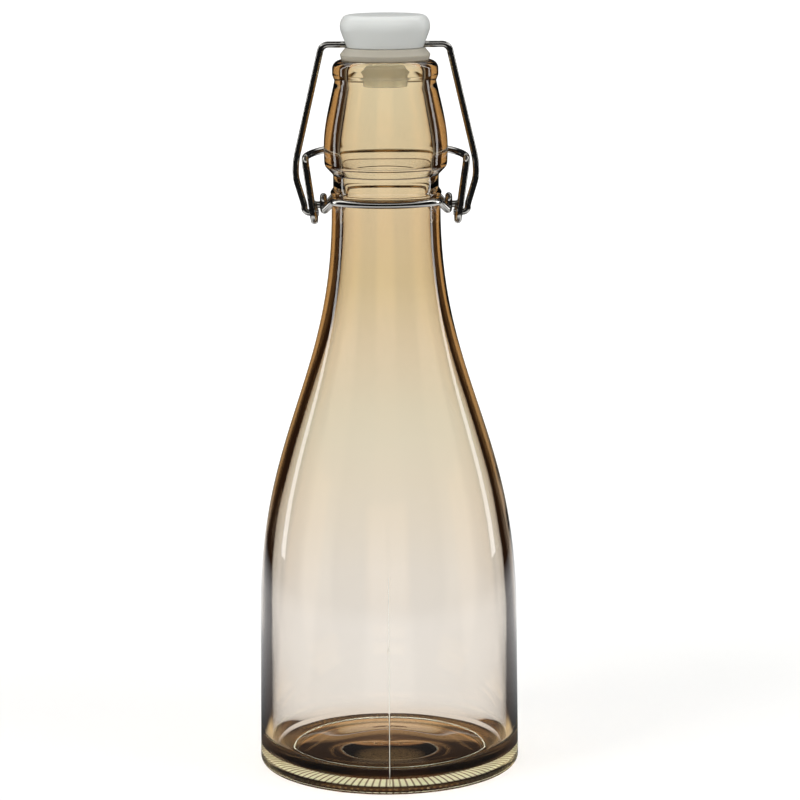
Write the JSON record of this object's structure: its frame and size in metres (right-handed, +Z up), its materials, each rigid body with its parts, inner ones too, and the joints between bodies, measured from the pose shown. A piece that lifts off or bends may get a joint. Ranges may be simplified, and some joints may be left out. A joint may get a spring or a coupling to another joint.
{
  "type": "swing-top glass bottle",
  "caption": "Tinted glass bottle with a bulged finish and a long tapering shoulder, shut by a white plastic stopper, a silicone gasket and a sprung wire closure.",
  "frame": {"origin": "centre of the base, on the resting plane", "axes": "+Z up along the bottle's axis, -Y to the front, +X to the right through the closure's pivots"},
  "size_m": [0.0784, 0.0784, 0.2255],
  "materials": {
    "tinted_glass": "smooth, brown-tinted",
    "white_plastic": "moulded, satin",
    "silicone": "milky, soft",
    "steel_wire": "drawn and polished"
  },
  "bodies": {
    "bottle": {"glass_bottle": "tinted_glass"},
    "ring": {"neck_ring": "steel_wire"},
    "lever": {"lever": "steel_wire"},
    "bail": {"stopper_bail": "steel_wire"},
    "stopper": {"stopper": "white_plastic", "gasket": "silicone"}
  },
  "joints": [
    {"name": "neck_ring_turn", "type": "hinge", "parent": "bottle", "child": "ring", "pos_m": [0, 0, 0.1714], "axis": [0, 0, 1], "continuous": true},
    {"name": "lever_swing", "type": "hinge", "parent": "ring", "child": "lever", "pos_m": [0, 0, 0.1697], "axis": [1, 0, 0], "range_deg": [-76, 0]},
    {"name": "bail_swing", "type": "hinge", "parent": "lever", "child": "bail", "pos_m": [0, 0.0004, 0.1673], "axis": [1, 0, 0], "range_deg": [0, 74]},
    {"name": "stopper_tilt", "type": "hinge", "parent": "bail", "child": "stopper", "pos_m": [0, 0, 0.2168], "axis": [1, 0, 0], "range_deg": [0, 3.5]}
  ],
  "couplings": [
    {"joint": "bail_swing", "follows": "lever_swing", "ratio": -0.9599},
    {"joint": "stopper_tilt", "follows": "lever_swing", "ratio": -0.0401}
  ]
}
